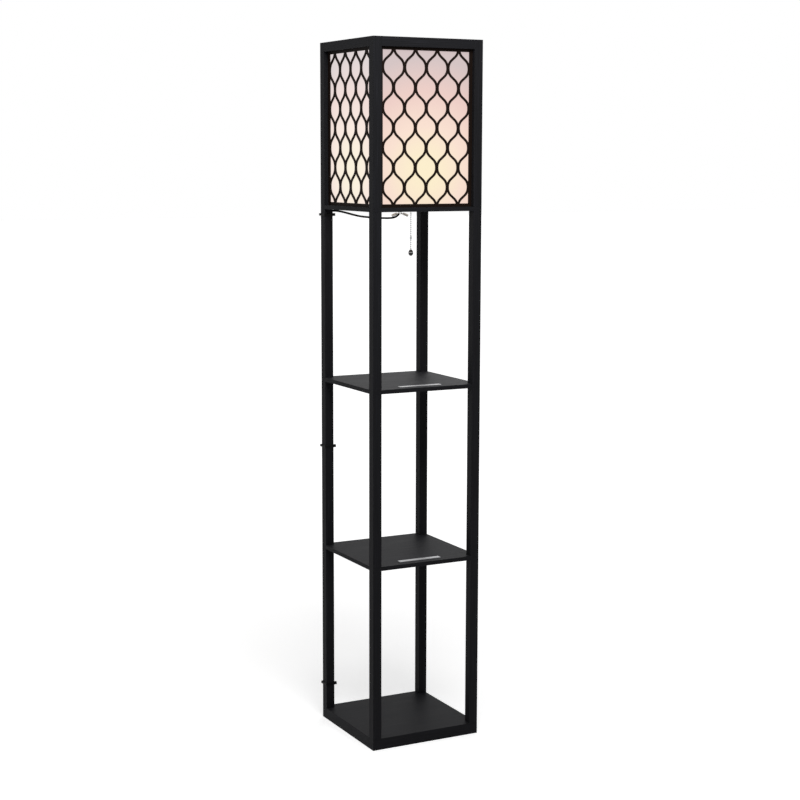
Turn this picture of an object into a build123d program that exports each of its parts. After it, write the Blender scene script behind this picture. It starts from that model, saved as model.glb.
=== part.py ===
"""Shelf floor lamp: base, two open shelves and a lattice shade on four square posts.

Millimetres, +Z up. The origin is the middle of the footprint, at floor level.
The front is the -Y side and the left is the -X side.
"""
from build123d import *
from math import acos, asin, atan2, cos, hypot, pi, radians, sin, sqrt, tan
import os

os.makedirs("parts", exist_ok=True)

# ---- driving dimensions: wooden frame ----
WIDTH = 260.0                # outer width and depth
POST = 20.0                  # side of the square posts and rails
BASE_HEIGHT = 25.0
PANEL_THICK = 5.0            # base panel
PANEL_LEDGE = 6.0            # how far the base panel lies on its rails
POST_LENGTH = 374.0          # post piece between base, shelves and shade
BOARD = 9.0                  # shelves and the shade's bottom frame
SHADE_HEIGHT = 351.0         # shade posts
RAIL_HEIGHT = 20.0           # top rails
FRAME_RING = 28.0            # width of the shade's bottom frame
EDGE = 0.4                   # eased edges of the wooden pieces

# ---- fasteners ----
STUD = 6.0                   # stud and bolt diameter
STUD_DEPTH = 20.0            # how far a stud goes into a post
STUD_PLAY = 0.2              # hole in a post over the stud
BOARD_PLAY = 0.6             # hole in a board or rail over the stud
BOLT_HEAD = 10.0
BOLT_HEAD_HIGH = 4.0
BOLT_RECESS = 5.0            # depth of the recess for the bolt's head
RECESS_PLAY = 1.0
DOWEL = 5.0
DOWEL_DEPTH = 12.0           # into each piece at the top of the shade
BASE_DOWEL_DEPTH = 6.0       # into the front and back base rails
BASE_DOWEL_Z = 10.0
DOWEL_WALL = 1.0             # wood left between a dowel and a groove or another dowel

# ---- lattice and diffuser ----
LATTICE_SET = 9.5            # front of the lattice behind the frame's outer face
LATTICE_THICK = 3.0
DIFFUSER_THICK = 1.2
SIDE_GROOVE = 5.5            # depth of the panel groove in the posts
TOP_GROOVE = 6.0             # in the top rails
FOOT_GROOVE = 2.5            # in the shade's bottom frame
PANEL_PLAY = 0.5             # room beside and above a panel in its grooves
MARGIN = 7.0                 # plain border of the lattice inside the posts
TOP_MARGIN = 6.0
COLUMNS = 4                  # cells across the window
ROWS = 8                     # half cells over the height of the shade opening
RIB = 4.4                    # width of the lattice ribs
NECK = 1.1                   # half the spacing of two ribs where cells meet
NECK_STRAIGHT = 1.0          # half the straight piece there
RIB_BEND = 0.94              # radius of the ribs' arcs, as a share of the largest that fits a cell

# ---- strips on the shelves ----
STRIP_LENGTH = 100.0
STRIP_WIDTH = 13.0
STRIP_THICK = 1.0
STRIP_X = -5.0
STRIP_SET = 19.0             # from the shelf's front edge

# ---- lamp holder ----
BAR_WIDE = 16.0
BAR_THICK = 2.0
BAR_SEAT = 10.0              # how far the bar goes under the frame at each end
SCREW = 3.0
SCREW_HEAD = 6.0
SCREW_HEAD_HIGH = 1.8
SCREW_GRIP = 5.0             # thread in the wood
SCREW_PLAY = 0.4
NIPPLE = 10.0
NIPPLE_BORE = 6.0
NIPPLE_DROP = 5.0            # nipple below the bar
NUT_FLATS = 14.0
NUT_THICK = 3.0
CAP_DIAMETER = 35.0
CAP_HEIGHT = 16.0
CAP_WALL = 1.0
CAP_ROUND = 5.0
HUB = 15.0                   # threaded collar in the cap
HUB_HIGH = 4.0
SHELL_OVERLAP = 5.0          # shell inside the cap
SHELL_LENGTH = 47.0
SHELL_WALL = 0.8
BODY_FLOOR = 16.0            # solid lower part of the insulating body
BODY_INSET = 2.0             # body below the shell's rim
SCREW_SHELL_RADIUS = 14.3
SCREW_SHELL_WALL = 0.6
CONTACT_RADIUS = 3.5
CONTACT_HIGH = 2.0

# ---- switch pull ----
PULL_X = 27.0                # hanging chain from the holder's axis
PULL_TRAVEL = 10.0
LEVER_WIDE = 3.0
LEVER_HIGH = 3.0
LEVER_FROM = 8.0             # inner end of the lever
LEVER_DROP = 1.5             # lever's top below the body's floor
SLOT_PLAY = 0.3
LINK_PIN = 1.0               # radius of the pin the link swings on
LINK_PIN_HEAD = 2.0          # radius of its head
LINK_RADIUS = 2.6
LINK_LONG = 4.0
PIN_PLAY = 0.1
CHEEK_THICK = 1.0
CHEEK_WIDE = 2.8
CROSS_DROP = 6.0             # cross pin below the link's pin
CROSS_PIN = 0.8
EYE_RADIUS = 2.0
EYE_LONG = 2.6
BALL = 3.2
BALL_PITCH = 4.4
CHAIN_WIRE = 1.0
STALK = 4.3                  # from the cross pin to the first ball
UPPER_BALLS = 18
LOWER_BALLS = 5
CONNECTOR = 4.8
CONNECTOR_LONG = 7.0
CONNECTOR_ROUND = 0.8
KNOB = 11.0
KNOB_LONG = 13.5
KNOB_NECK = 5.5              # diameter at the top of the cone
KNOB_TOP = 5.0               # height of the cone
KNOB_BAND = 1.6
KNOB_CHEEK = 0.8             # lower half: width two thirds of the way down, as a share of the knob's
KNOB_FOOT = 3.6              # diameter of the flat underneath

# ---- bulb ----
BULB_GLASS = 60.0
BULB_TOP = 108.0             # bulb from its tip to the top of the glass
BULB_CAP_RADIUS = 13.2
BULB_CAP_LONG = 25.5
BULB_CAP_ROUND = 3.3
BULB_NECK = 13.0
BULB_ROUND_FROM = radians(-28)    # where the round glass starts, as an angle from its middle
SHOULDER_OUT = 0.45          # a point of the curve between neck and round glass, as shares
SHOULDER_UP = 0.58
GLASS_WALL = 0.8
TIP_RADIUS = 3.0
TIP_HIGH = 1.0
INSULATOR_RADIUS = 7.0
INSULATOR_HIGH = 0.9
RUN_GAP = 0.3                # between bodies that move past each other

# ---- wiring ----
WIRE = 1.6                   # single insulated wires
WIRE_SPREAD = 1.3            # of the two wires in the nipple
CRIMP = 5.5
CRIMP_WALL = 0.65
CRIMP_DEEP = 9.0
CRIMP_ROUND = 1.8
CRIMP_NEAR = 6.5             # crimp caps from the nipple's axis, open end
CRIMP_FAR = 18.0             # closed end
CRIMP_NEAR_DROP = 8.0        # below the frame's underside
CRIMP_FAR_DROP = 13.0
CRIMP_TURN = radians(-27.4)  # direction of the crimp caps in plan
WIRE_PAIR = 0.85             # half the spacing of two wires in a crimp cap
WIRE_BEND_DROP = 7.0         # bend of the socket's wires below the frame's underside
WIRE_IN_CORD = 2.0
WIRE_IN_CRIMP = 0.35         # where a wire ends, as a share of the crimp cap
CORD = 4.4                   # mains lead
CORD_BEND = 0.45             # share of the shorter of two runs that the bend between them takes
TIE_HIGH = 5.0
TIE_THICK = 1.2
TIE_SLACK = 1.6              # how far the band stands off the post's outer back corner
TIE_HEAD = 5.0
TIE_HEAD_OUT = 5.5
TIE_HEAD_HIGH = 6.0
TOP_TIE_DROP = 12.0          # below the shade's bottom frame
TOP_TIE_ROOM = 3.7           # the lead crosses this tie on a slant
MIDDLE_TIE_UP = 227.0        # above the lower shelf
LOW_TIE_UP = 57.0            # above the base
TIE_ROOM = 0.4

# Mains lead under the shade, near the holder: X, Y and the drop below the frame's underside.
LEAD_NEAR = [
    (-4.6, 4.6, 14.4),
    (-11.0, 11.2, 17.6),
    (-24.0, 24.6, 18.6),
]
# Then to the back-left post: from the left face inwards, from the back face outwards, and the drop.
LEAD_OVER = [
    (69.0, -67.5, 16.4),
    (54.0, -48.0, 11.4),
    (43.0, -29.0, 6.8),
    (35.5, -13.0, 4.4),
    (29.0, 0.0, 4.2),
    (23.0, 7.4, 6.8),
    (16.2, 10.0, 13.8),
    (11.2, 8.4, 25.2),
    (9.2, 5.6, 40.6),
    (9.1, 4.0, 65.0),
]
# Evenly spaced down the post, from the same two faces.
LEAD_DOWN = [
    (9.8, 3.7),
    (11.0, 4.6),
    (11.8, 5.9),
    (12.0, 6.4),
    (11.4, 5.8),
    (10.4, 3.2),
    (9.9, 2.6),
    (9.2, 3.4),
    (8.3, 5.0),
    (8.0, 6.2),
    (8.6, 6.0),
    (9.6, 4.9),
    (10.3, 3.4),
    (10.5, 2.7),
]
# At the floor: from the same two faces, and the height.
LEAD_LOW = [
    (10.0, 3.3, 50.0),
    (12.8, 3.9, 27.0),
    (20.6, 3.9, 10.6),
    (31.0, 3.6, 3.4),
    (40.0, 3.4, 2.4),
    (48.0, 3.4, 2.4),
]

# ---- put-away hank behind the base ----
HANK_START = 4.0             # from the lead's end to the first run
HANK_RUN = 80.0              # straight part of a loop
HANK_LOOPS = 2               # loops in each of the two layers
HANK_STEP = 5.2              # between neighbouring strands
HANK_LAYER = 4.9             # between the layers
HANK_OUTER = 20.4            # first strand from the hank's middle line
WAIST_IN = 4.0               # strands drawn in at the waist
HANK_TIE_WIDE = 6.0
HANK_TIE_THICK = 0.6
HANK_TIE_PLAY = 0.2
TAIL = 36.0                  # from the last loop to the plug
TAIL_OUT = 9.0

# ---- plug ----
RELIEF_LONG = 22.0
RELIEF_SMALL = 6.4
RELIEF_LARGE = 10.0
PLUG_WIDE = 20.0
PLUG_LONG = 30.0
PLUG_ROUND = 3.0
PRONG_LONG = 17.0
PRONG_WIDE = 6.3
PRONG_THICK = 1.5
PRONG_SPACING = 12.7
PRONG_ROOT = 6.0             # inside the plug
PRONG_ROUND = 2.1
SAME_WAY = 1e-6              # two directions that differ by less count as one

# ---- levels and places worked out from these ----
HALF = WIDTH / 2
INNER = HALF - POST
CORNER = HALF - POST / 2
LOWER_Z = BASE_HEIGHT + POST_LENGTH
UPPER_Z = LOWER_Z + BOARD + POST_LENGTH
SHADE_Z = UPPER_Z + BOARD + POST_LENGTH
OPENING_Z = SHADE_Z + BOARD
TOP_Z = OPENING_Z + SHADE_HEIGHT
RAIL_Z = TOP_Z - RAIL_HEIGHT
SIDES = ("front", "right", "back", "left")
CORNERS = {"front_left": (-1, -1), "front_right": (1, -1), "back_left": (-1, 1), "back_right": (1, 1)}

BAR_TOP = SHADE_Z + BAR_THICK
CAP_Z = BAR_TOP + NUT_THICK
SHELL_Z = CAP_Z + CAP_HEIGHT - SHELL_OVERLAP
SHELL_RADIUS = CAP_DIAMETER / 2 - CAP_WALL
BODY_RADIUS = SHELL_RADIUS - SHELL_WALL
FLOOR_Z = SHELL_Z + BODY_FLOOR
BODY_TOP = SHELL_Z + SHELL_LENGTH - BODY_INSET
LEVER_TOP = FLOOR_Z - LEVER_DROP
LINK_Z = LEVER_TOP - LEVER_HIGH / 2
CROSS_Z = LINK_Z - CROSS_DROP
TIP_Z = FLOOR_Z + CONTACT_HIGH + RUN_GAP
BULB_CAP_Z = TIP_Z + TIP_HIGH + INSULATOR_HIGH + RUN_GAP
GLASS_Z = BULB_CAP_Z + BULB_CAP_LONG
CORD_RADIUS = CORD / 2


def lead_route():
    """Points of the mains lead, from the crimp caps down the back-left post to the floor."""
    near = [(x, y, SHADE_Z - drop) for x, y, drop in LEAD_NEAR]
    over = [(-HALF + x, HALF + y, SHADE_Z - drop) for x, y, drop in LEAD_OVER]
    low = [(-HALF + x, HALF + y, z) for x, y, z in LEAD_LOW]
    step = (low[0][2] - over[-1][2]) / (len(LEAD_DOWN) + 1)
    down = [(-HALF + x, HALF + y, over[-1][2] + step * (place + 1))
            for place, (x, y) in enumerate(LEAD_DOWN)]
    return near + over + down + low


CORD_ROUTE = lead_route()
HANK_X = CORD_ROUTE[-1][0] + HANK_START + HANK_RUN / 2    # middle of the hank


def block(x_range, y_range, z_range):
    """A box between two corners."""
    size = [high - low for low, high in (x_range, y_range, z_range)]
    return Pos(x_range[0], y_range[0], z_range[0]) * Box(*size, align=(Align.MIN,) * 3)


def rod(radius, z_range, x=0.0, y=0.0):
    """An upright round bar."""
    low, high = z_range
    return Pos(x, y, low) * Cylinder(radius, high - low, align=(Align.CENTER, Align.CENTER, Align.MIN))


def rod_x(radius, x_range, y=0.0, z=0.0):
    """A round bar along X."""
    low, high = x_range
    return Pos(low, y, z) * Rot(0, 90, 0) * rod(radius, (0.0, high - low))


def rod_y(radius, y_range, x=0.0, z=0.0):
    """A round bar along Y."""
    low, high = y_range
    return Pos(x, low, z) * Rot(-90, 0, 0) * rod(radius, (0.0, high - low))


def turned(shape, quarter):
    """The shape turned about the lamp's axis by so many quarter turns."""
    return Rot(0, 0, 90 * quarter) * shape


def eased(shape):
    """A wooden piece with its sharp edges eased."""
    return fillet(shape.edges(), EDGE)


# ---- holes and grooves that several pieces share ----
def stud_holes(z_range, play):
    """Holes for the studs and bolts at the four corners."""
    return [rod((STUD + play) / 2, z_range, sx * CORNER, sy * CORNER) for sx, sy in CORNERS.values()]


def panel_slots():
    """The grooves of the four lattice panels and their diffusers."""
    reach = INNER + SIDE_GROOVE
    depth = (-HALF + LATTICE_SET, -HALF + LATTICE_SET + LATTICE_THICK + DIFFUSER_THICK)
    slot = block((-reach, reach), depth, (OPENING_Z - FOOT_GROOVE, RAIL_Z + TOP_GROOVE))
    return [turned(slot, quarter) for quarter in range(4)]


def top_dowels():
    """Dowels of the top rails: those of the side rails lie above the others."""
    first = RAIL_Z + TOP_GROOVE + DOWEL_WALL + DOWEL / 2
    dowels = []
    for quarter in range(4):
        height = first + (quarter % 2) * (DOWEL + DOWEL_WALL)
        for side in (-1, 1):
            ends = sorted((side * (INNER - DOWEL_DEPTH), side * (INNER + DOWEL_DEPTH)))
            dowels.append(turned(rod_x(DOWEL / 2, ends, -CORNER, height), quarter))
    return dowels


def base_dowels():
    """Dowels between the base's side rails and its front and back rails."""
    across = INNER + DOWEL
    dowels = []
    for sx, sy in CORNERS.values():
        ends = sorted((sy * (INNER - DOWEL_DEPTH), sy * (INNER + BASE_DOWEL_DEPTH)))
        dowels.append(rod_y(DOWEL / 2, ends, sx * across, BASE_DOWEL_Z))
    return dowels


# ---- wooden frame ----
def base_panel():
    reach = INNER + PANEL_LEDGE
    return block((-reach, reach), (-reach, reach), (BASE_HEIGHT - PANEL_THICK, BASE_HEIGHT))


def base_rails():
    """Front and back rails over the full width, side rails between them."""
    tall = (0.0, BASE_HEIGHT)
    long_rail = eased(block((-HALF, HALF), (-HALF, -INNER), tall))
    side_rail = eased(block((-HALF, -INNER), (-INNER, INNER), tall))
    cuts = [base_panel()] + base_dowels() + stud_holes(tall, BOARD_PLAY)
    recess = (BOLT_HEAD + RECESS_PLAY) / 2
    cuts += [rod(recess, (0.0, BOLT_RECESS), sx * CORNER, sy * CORNER) for sx, sy in CORNERS.values()]
    rails = [long_rail, turned(long_rail, 2), side_rail, turned(side_rail, 2)]
    return Compound([(rail - cuts).solid() for rail in rails])


def base_bolts():
    """Bolts up through the base into the lowest posts."""
    bolts = []
    for sx, sy in CORNERS.values():
        head = rod(BOLT_HEAD / 2, (BOLT_RECESS - BOLT_HEAD_HIGH, BOLT_RECESS), sx * CORNER, sy * CORNER)
        shank = rod(STUD / 2, (BOLT_RECESS, BASE_HEIGHT + STUD_DEPTH), sx * CORNER, sy * CORNER)
        bolts.append((head + shank).solid())
    return Compound(bolts)


def post_studs():
    """Studs through the shelves and the shade's bottom frame."""
    studs = []
    for level in (LOWER_Z, UPPER_Z, SHADE_Z):
        ends = (level - STUD_DEPTH, level + BOARD + STUD_DEPTH)
        studs += [rod(STUD / 2, ends, sx * CORNER, sy * CORNER) for sx, sy in CORNERS.values()]
    return Compound(studs)


def post(corner, z_range, top_hole=True):
    """A square post with a stud hole in its foot and, if asked, in its head."""
    sx, sy = corner
    x_range = sorted((sx * INNER, sx * HALF))
    y_range = sorted((sy * INNER, sy * HALF))
    low, high = z_range
    holes = [rod((STUD + STUD_PLAY) / 2, (low, low + STUD_DEPTH), sx * CORNER, sy * CORNER)]
    if top_hole:
        holes.append(rod((STUD + STUD_PLAY) / 2, (high - STUD_DEPTH, high), sx * CORNER, sy * CORNER))
    return eased(block(x_range, y_range, z_range)) - holes


def shade_post(corner):
    return (post(corner, (OPENING_Z, TOP_Z), top_hole=False) - panel_slots() - top_dowels()).solid()


def board(level):
    """A full-size board with its stud holes."""
    plate = eased(block((-HALF, HALF), (-HALF, HALF), (level, level + BOARD)))
    return plate - stud_holes((level, level + BOARD), BOARD_PLAY)


def bar_reach():
    """Half the length of the lamp holder's bar."""
    return HALF - FRAME_RING + BAR_SEAT


def screw_places():
    return [side * (bar_reach() - BAR_SEAT / 2) for side in (-1, 1)]


def shade_base_frame():
    """The shade's bottom frame, with grooves on top and seats for the bar below."""
    inside = HALF - FRAME_RING
    opening = block((-inside, inside), (-inside, inside), (SHADE_Z, OPENING_Z))
    seat = block((-BAR_WIDE / 2, BAR_WIDE / 2), (-bar_reach(), bar_reach()), (SHADE_Z, BAR_TOP))
    pilots = [rod(SCREW / 2, (BAR_TOP, BAR_TOP + SCREW_GRIP), 0.0, y) for y in screw_places()]
    return (board(SHADE_Z) - opening - seat - pilots - panel_slots()).solid()


def top_rail(quarter):
    rail = eased(block((-INNER, INNER), (-HALF, -INNER), (RAIL_Z, TOP_Z)))
    return (turned(rail, quarter) - panel_slots() - top_dowels()).solid()


def shelf_strips():
    """A thin plain strip near the front edge of each shelf."""
    strips = []
    for level in (LOWER_Z, UPPER_Z):
        x_range = (STRIP_X - STRIP_LENGTH / 2, STRIP_X + STRIP_LENGTH / 2)
        y_range = (-HALF + STRIP_SET, -HALF + STRIP_SET + STRIP_WIDTH)
        strips.append(block(x_range, y_range, (level + BOARD, level + BOARD + STRIP_THICK)).solid())
    return Compound(strips)


# ---- lattice ----
def window():
    """The pierced area in the plane of a panel: half width, lowest and highest point."""
    return INNER - MARGIN, OPENING_Z + MARGIN, RAIL_Z - TOP_MARGIN


def cell_pitch():
    """Width of a cell and height of a row."""
    return 2 * (INNER - MARGIN) / COLUMNS, (RAIL_Z - OPENING_Z) / ROWS


def cell():
    """One ogee cell about its middle, in the XY plane.

    A rib's centre line is an arc bulging from the cell's waist, a straight slope and an
    arc into the neck above. At the largest radius that fits the two arcs would meet with
    no slope between them. The slope's angle follows from the two arc centres.
    """
    pitch, row = cell_pitch()
    side, along = pitch / 4 - NECK, NECK_STRAIGHT - row / 2
    arc = RIB_BEND * (side ** 2 + along ** 2) / (2 * side)
    low_arc = Vector(pitch / 2 - NECK - arc, NECK_STRAIGHT)
    high_arc = Vector(NECK + arc, row - NECK_STRAIGHT)
    slope = -acos(arc / hypot(arc - side, along)) - atan2(along, arc - side)
    waist = pitch / 2 - NECK - RIB / 2
    inner, outer = arc - RIB / 2, arc + RIB / 2
    tip = acos(high_arc.X / outer)
    side_foot = Vector(waist, NECK_STRAIGHT)
    slope_foot = low_arc + Vector(cos(slope), sin(slope)) * inner
    slope_head = high_arc - Vector(cos(slope), sin(slope)) * outer
    apex = high_arc - Vector(cos(tip), sin(tip)) * outer
    side_mid = low_arc + Vector(cos(slope / 2), sin(slope / 2)) * inner
    tip_mid = high_arc - Vector(cos((slope + tip) / 2), sin((slope + tip) / 2)) * outer
    quarter = [
        ThreePointArc(side_foot, side_mid, slope_foot),
        Line(slope_foot, slope_head),
        ThreePointArc(slope_head, tip_mid, apex),
    ]
    half = quarter + [edge.mirror(Plane.YZ) for edge in quarter]
    edges = half + [edge.mirror(Plane.XZ) for edge in half]
    edges += [Line((x, -NECK_STRAIGHT), (x, NECK_STRAIGHT)) for x in (-waist, waist)]
    return Face(Wire(edges))


def lattice_openings():
    """Faces of all openings: whole cells, and cells cut by the window's edge."""
    pitch, row = cell_pitch()
    half_width, low, high = window()
    frame = Pos(0, (low + high) / 2) * Rectangle(2 * half_width, high - low)
    one = cell()
    faces = []
    for level in range(ROWS + 1):
        odd = level % 2
        count = COLUMNS if odd else COLUMNS + 1
        for place in range(count):
            x = (place - (count - 1) / 2) * pitch
            y = RAIL_Z - level * row
            moved = Pos(x, y) * one
            beside = abs(x) + pitch / 4 < half_width
            whole = beside and low < y - row and y + row < high
            faces += [moved] if whole else (moved & frame).faces()
    return faces


def upright(face, y, thick):
    """A flat face of the XY plane stood up in the plane y and thickened backwards."""
    return Pos(0, y, 0) * Rot(90, 0, 0) * extrude(face, -thick)


def panel_outline():
    """Outline of a panel in its grooves."""
    reach = INNER + SIDE_GROOVE - PANEL_PLAY
    low, high = OPENING_Z - FOOT_GROOVE, RAIL_Z + TOP_GROOVE - PANEL_PLAY
    return Pos(0, (low + high) / 2) * Rectangle(2 * reach, high - low)


def lattice_panel():
    outline = panel_outline().face()
    pierced = Face(outline.outer_wire(), [opening.outer_wire() for opening in lattice_openings()])
    return upright(pierced, -HALF + LATTICE_SET, LATTICE_THICK)


def diffuser():
    return upright(panel_outline().face(), -HALF + LATTICE_SET + LATTICE_THICK, DIFFUSER_THICK)


# ---- lamp holder ----
def socket_crossbar():
    bar = block((-BAR_WIDE / 2, BAR_WIDE / 2), (-bar_reach(), bar_reach()), (SHADE_Z, BAR_TOP))
    holes = [rod((SCREW + SCREW_PLAY) / 2, (SHADE_Z, BAR_TOP), 0.0, y) for y in screw_places()]
    return (bar - holes - rod(NIPPLE / 2, (SHADE_Z, BAR_TOP))).solid()


def crossbar_screws():
    screws = []
    for y in screw_places():
        head = rod(SCREW_HEAD / 2, (SHADE_Z - SCREW_HEAD_HIGH, SHADE_Z), 0.0, y)
        shank = rod(SCREW / 2, (SHADE_Z, BAR_TOP + SCREW_GRIP), 0.0, y)
        screws.append((head + shank).solid())
    return Compound(screws)


def nipple_top():
    return CAP_Z + CAP_WALL + HUB_HIGH


def threaded_nipple():
    length = (SHADE_Z - NIPPLE_DROP, nipple_top())
    return (rod(NIPPLE / 2, length) - rod(NIPPLE_BORE / 2, length)).solid()


def nipple_nuts():
    """A nut on each side of the bar."""
    nuts = []
    for low in (SHADE_Z - NUT_THICK, BAR_TOP):
        corner_radius = NUT_FLATS / sqrt(3)
        nut = Pos(0, 0, low) * extrude(RegularPolygon(corner_radius, 6), NUT_THICK)
        nuts.append((nut - rod(NIPPLE / 2, (low, low + NUT_THICK))).solid())
    return Compound(nuts)


def lever_slot():
    """The slot the switch lever slides in, through body, shell and cap."""
    wide = LEVER_WIDE / 2 + SLOT_PLAY
    low = LEVER_TOP - LEVER_HIGH - PULL_TRAVEL - SLOT_PLAY
    return block((LEVER_FROM - SLOT_PLAY, CAP_DIAMETER), (-wide, wide), (low, LEVER_TOP + SLOT_PLAY))


def socket_cap():
    """A cup with a threaded collar, notched at the lever."""
    radius = CAP_DIAMETER / 2
    cup = rod(radius, (CAP_Z, CAP_Z + CAP_HEIGHT))
    cup = fillet(cup.edges().sort_by(Axis.Z)[0], CAP_ROUND)
    hollow = rod(radius - CAP_WALL, (CAP_Z + CAP_WALL, CAP_Z + CAP_HEIGHT))
    hollow = fillet(hollow.edges().sort_by(Axis.Z)[0], CAP_ROUND - CAP_WALL)
    collar = rod(HUB / 2, (CAP_Z, nipple_top()))
    return (cup - hollow + collar - rod(NIPPLE / 2, (CAP_Z, nipple_top())) - lever_slot()).solid()


def socket_shell():
    tube = (SHELL_Z, SHELL_Z + SHELL_LENGTH)
    return (rod(SHELL_RADIUS, tube) - rod(BODY_RADIUS, tube) - lever_slot()).solid()


def socket_body():
    """Insulating body: solid below, a lined cup for the bulb above."""
    body = rod(BODY_RADIUS, (SHELL_Z, BODY_TOP))
    return (body - rod(SCREW_SHELL_RADIUS, (FLOOR_Z, BODY_TOP)) - lever_slot()).solid()


def screw_shell():
    radius = SCREW_SHELL_RADIUS
    lining = rod(radius, (FLOOR_Z, BODY_TOP)) - rod(radius - SCREW_SHELL_WALL, (FLOOR_Z, BODY_TOP))
    ring = rod(radius, (FLOOR_Z, FLOOR_Z + SCREW_SHELL_WALL))
    ring -= rod(INSULATOR_RADIUS, (FLOOR_Z, FLOOR_Z + SCREW_SHELL_WALL))
    return (lining + ring).solid()


def centre_contact():
    button = rod(CONTACT_RADIUS, (FLOOR_Z, FLOOR_Z + CONTACT_HIGH))
    return fillet(button.edges().sort_by(Axis.Z)[-1], CONTACT_HIGH / 2).solid()


# ---- switch pull ----
def switch_lever():
    """A flat lever ending in the pin that carries the swinging link."""
    near, far = PULL_X - LINK_LONG / 2 - RUN_GAP, PULL_X + LINK_LONG / 2 + RUN_GAP
    wide = LEVER_WIDE / 2
    flat = block((LEVER_FROM, near), (-wide, wide), (LEVER_TOP - LEVER_HIGH, LEVER_TOP))
    pin = rod_x(LINK_PIN, (near, far), 0.0, LINK_Z)
    head = rod_x(LINK_PIN_HEAD, (far, far + LINK_PIN), 0.0, LINK_Z)
    return (flat + pin + head).solid()


def chain_eyelet():
    """The link: a sleeve on the lever's pin and two cheeks with a cross pin."""
    ends = (PULL_X - LINK_LONG / 2, PULL_X + LINK_LONG / 2)
    inside = EYE_LONG / 2 + RUN_GAP
    link = rod_x(LINK_RADIUS, ends, 0.0, LINK_Z)
    for side in (-1, 1):
        y_range = sorted((side * inside, side * (inside + CHEEK_THICK)))
        x_range = (PULL_X - CHEEK_WIDE / 2, PULL_X + CHEEK_WIDE / 2)
        link += block(x_range, y_range, (CROSS_Z - CHEEK_WIDE / 2, LINK_Z - LINK_PIN))
    link -= rod_x(LINK_PIN + PIN_PLAY, ends, 0.0, LINK_Z)
    cross = rod_y(CROSS_PIN, (-inside, inside), PULL_X, CROSS_Z)
    return (link + cross).solid()


def ball_strand(top, balls, stub_top, stub_bottom):
    """A ball chain turned in one piece: balls joined by short lengths of wire."""
    wire, radius = CHAIN_WIRE / 2, BALL / 2
    reach = sqrt(radius ** 2 - wire ** 2)
    centres = [top - BALL_PITCH * place for place in range(balls)]
    edges = [Line((0, stub_top), (wire, stub_top)), Line((wire, stub_top), (wire, centres[0] + reach))]
    for place, centre in enumerate(centres):
        edges.append(ThreePointArc((wire, centre + reach), (radius, centre), (wire, centre - reach)))
        below = centres[place + 1] + reach if place + 1 < balls else stub_bottom
        edges.append(Line((wire, centre - reach), (wire, below)))
    edges += [Line((wire, stub_bottom), (0, stub_bottom)), Line((0, stub_bottom), (0, stub_top))]
    profile = Rot(90, 0, 0) * Face(Wire(edges))
    return Pos(PULL_X, 0, 0) * revolve(profile, Axis.Z)


def connector_top():
    return CROSS_Z - STALK - UPPER_BALLS * BALL_PITCH + BALL_PITCH - BALL / 2 - RUN_GAP


def knob_top():
    return connector_top() - CONNECTOR_LONG - LOWER_BALLS * BALL_PITCH


def pull_chain():
    """Upper strand with its eye, and the lower strand below the connector."""
    upper = ball_strand(CROSS_Z - STALK, UPPER_BALLS, CROSS_Z - CROSS_PIN - PIN_PLAY, connector_top())
    eye = rod_y(EYE_RADIUS, (-EYE_LONG / 2, EYE_LONG / 2), PULL_X, CROSS_Z)
    upper = upper + eye - rod_y(CROSS_PIN + PIN_PLAY, (-EYE_LONG / 2, EYE_LONG / 2), PULL_X, CROSS_Z)
    low = connector_top() - CONNECTOR_LONG
    lower = ball_strand(low - BALL_PITCH / 2, LOWER_BALLS, low, knob_top())
    return Compound([upper.solid(), lower.solid()])


def chain_connector():
    """The barrel that joins the two strands."""
    barrel = rod(CONNECTOR / 2, (connector_top() - CONNECTOR_LONG, connector_top()), PULL_X)
    return fillet(barrel.edges().filter_by(GeomType.CIRCLE), CONNECTOR_ROUND).solid()


def chain_knob():
    """A turned end knob: cone, narrow band and rounded lower half."""
    top = knob_top()
    neck, radius, foot = KNOB_NECK / 2, KNOB / 2, KNOB_FOOT / 2
    band_top, bottom = top - KNOB_TOP, top - KNOB_LONG
    band_low = band_top - KNOB_BAND
    cheek = (radius * KNOB_CHEEK, band_low + (bottom - band_low) * 2 / 3)
    edges = [
        Line((0, top), (neck, top)),
        Line((neck, top), (radius, band_top)),
        Line((radius, band_top), (radius, band_low)),
        ThreePointArc((radius, band_low), cheek, (foot, bottom)),
        Line((foot, bottom), (0, bottom)),
        Line((0, bottom), (0, top)),
    ]
    return (Pos(PULL_X, 0, 0) * revolve(Rot(90, 0, 0) * Face(Wire(edges)), Axis.Z)).solid()


# ---- bulb ----
def bulb_space(inset):
    """The bulb's glass as a full solid, drawn in by an inset."""
    radius = BULB_GLASS / 2 - inset
    centre = TIP_Z + BULB_TOP - BULB_GLASS / 2
    neck = BULB_NECK - inset
    foot = GLASS_Z
    join, above, top = [
        (radius * cos(angle), centre + radius * sin(angle))
        for angle in (BULB_ROUND_FROM, (BULB_ROUND_FROM + pi / 2) / 2, pi / 2)
    ]
    shoulder = (neck + SHOULDER_OUT * (join[0] - neck), foot + SHOULDER_UP * (join[1] - foot))
    edges = [
        Line((0, foot), (neck, foot)),
        ThreePointArc((neck, foot), shoulder, join),
        ThreePointArc(join, above, top),
        Line(top, (0, foot)),
    ]
    return revolve(Rot(90, 0, 0) * Face(Wire(edges)), Axis.Z)


def bulb_globe():
    return (bulb_space(0.0) - bulb_space(GLASS_WALL)).solid()


def bulb_cap():
    sleeve = rod(BULB_CAP_RADIUS, (BULB_CAP_Z, GLASS_Z))
    return fillet(sleeve.edges().sort_by(Axis.Z)[0], BULB_CAP_ROUND).solid()


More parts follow.
